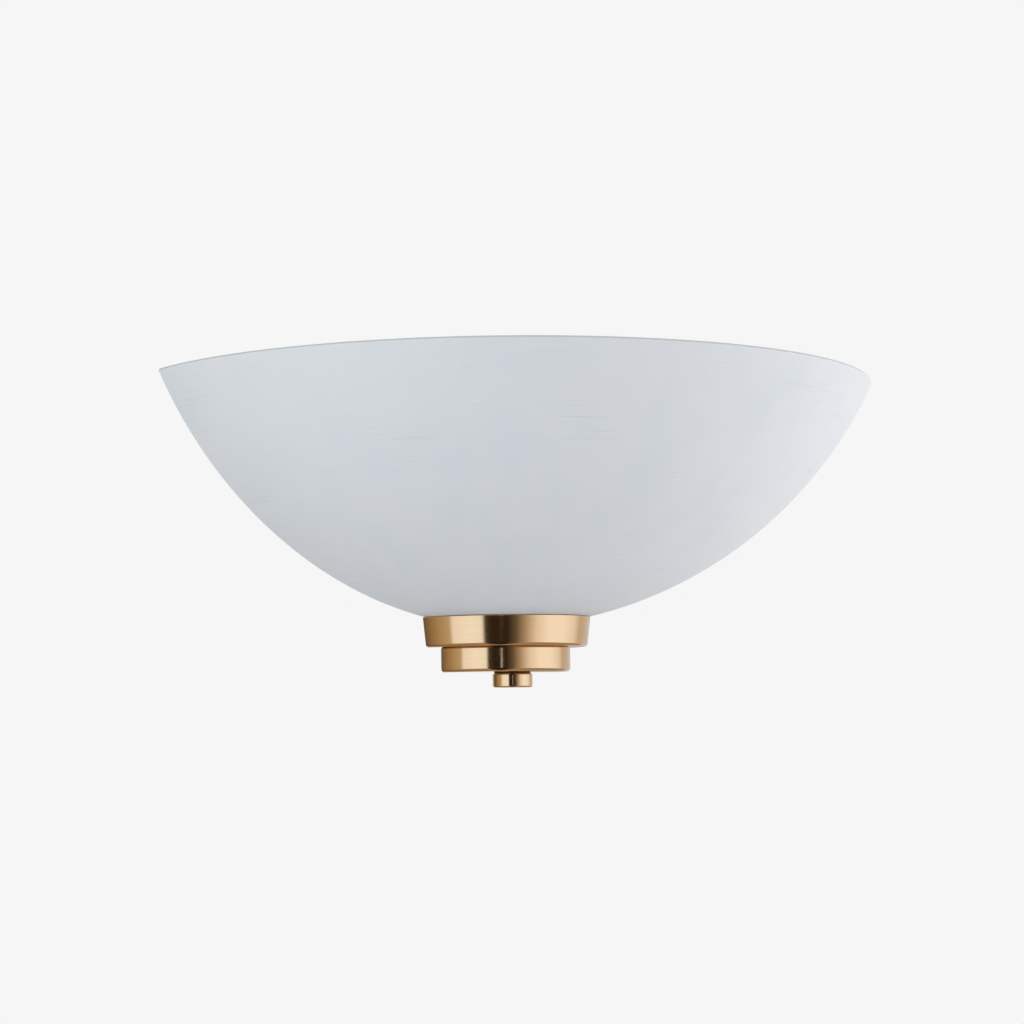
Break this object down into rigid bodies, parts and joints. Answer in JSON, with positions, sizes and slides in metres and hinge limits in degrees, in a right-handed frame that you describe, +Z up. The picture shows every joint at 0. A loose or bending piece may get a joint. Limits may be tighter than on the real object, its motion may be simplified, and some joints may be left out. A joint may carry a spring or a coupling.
{
  "type": "uplighter wall sconce",
  "caption": "Half-bowl glass wall uplighter with a stepped brass gallery and finial, a steel wall plate, a lampholder and a lamp.",
  "frame": {"origin": "on the wall, midway between the two wall slots", "axes": "+X to the right seen from the room, +Y into the wall, +Z up; the light stands out towards -Y"},
  "size_m": [0.3488, 0.1744, 0.138],
  "materials": {
    "satin_glass": "satin, fine drawn streaks",
    "satin_brass": "polished, lacquered",
    "zinc_steel": "zinc plated",
    "rod_steel": "yellow passivated",
    "screw_steel": "zinc plated",
    "contact_brass": "plain",
    "nickel_cap": "bright",
    "black_rubber": "matt",
    "pad_rubber": "matt",
    "block_nylon": "matt",
    "live_insulation": "matt",
    "neutral_insulation": "matt",
    "earth_insulation": "matt, two colours",
    "fibre": "matt",
    "porcelain": "glazed",
    "opal_plastic": "satin",
    "white_plastic": "semi-gloss",
    "cap_insulator": "gloss"
  },
  "bodies": {
    "wall_frame": {"wall_plate": "zinc_steel", "rod_bracket": "zinc_steel", "threaded_rod": "rod_steel", "rod_nut_upper": "rod_steel", "rod_nut_lower": "rod_steel", "rod_washer": "rod_steel", "cable_grommet": "black_rubber", "terminal_block": "block_nylon", "terminal_inserts": "contact_brass", "terminal_screws": "screw_steel", "block_screw": "screw_steel", "earth_screw": "screw_steel", "earth_washer": "screw_steel", "earth_tag": "contact_brass", "lampholder_bracket": "zinc_steel", "bracket_rivets": "screw_steel", "lampholder_body": "porcelain", "lampholder_shell": "contact_brass", "lampholder_contact": "contact_brass", "lampholder_posts": "contact_brass", "lampholder_screws": "screw_steel", "live_wire": "live_insulation", "neutral_wire": "neutral_insulation", "earth_wire": "earth_insulation"},
    "shade_set": {"glass_shade": "satin_glass", "shade_gasket": "pad_rubber", "seat_ring": "pad_rubber", "gallery_upper": "satin_brass", "gallery_lower": "satin_brass", "finial_washer": "fibre"},
    "finial": {"finial_nut": "satin_brass"},
    "lamp_tip": {"lamp_contact": "contact_brass"},
    "lamp": {"lamp_envelope": "opal_plastic", "lamp_housing": "white_plastic", "lamp_cap": "nickel_cap", "lamp_cap_insulator": "cap_insulator"}
  },
  "joints": [
    {"name": "shade_lower", "type": "slide", "parent": "wall_frame", "child": "shade_set", "axis": [0, 0, -1], "range_m": [0, 0.01]},
    {"name": "finial_turn", "type": "hinge", "parent": "shade_set", "child": "finial", "pos_m": [0, -0.0099, -0.09304], "axis": [0, 0, -1], "range_deg": [0, 3600]},
    {"name": "lamp_withdraw", "type": "slide", "parent": "wall_frame", "child": "lamp_tip", "axis": [1, 0, 0], "range_m": [0, 0.02]},
    {"name": "lamp_turn", "type": "hinge", "parent": "lamp_tip", "child": "lamp", "pos_m": [-0.056, -0.062, 0.008], "axis": [1, 0, 0], "range_deg": [0, 1985]}
  ],
  "couplings": [
    {"joint": "finial_turn", "follows": "shade_lower", "rad_per_m": 6283.2},
    {"joint": "lamp_turn", "follows": "lamp_withdraw", "rad_per_m": 1731.6}
  ]
}
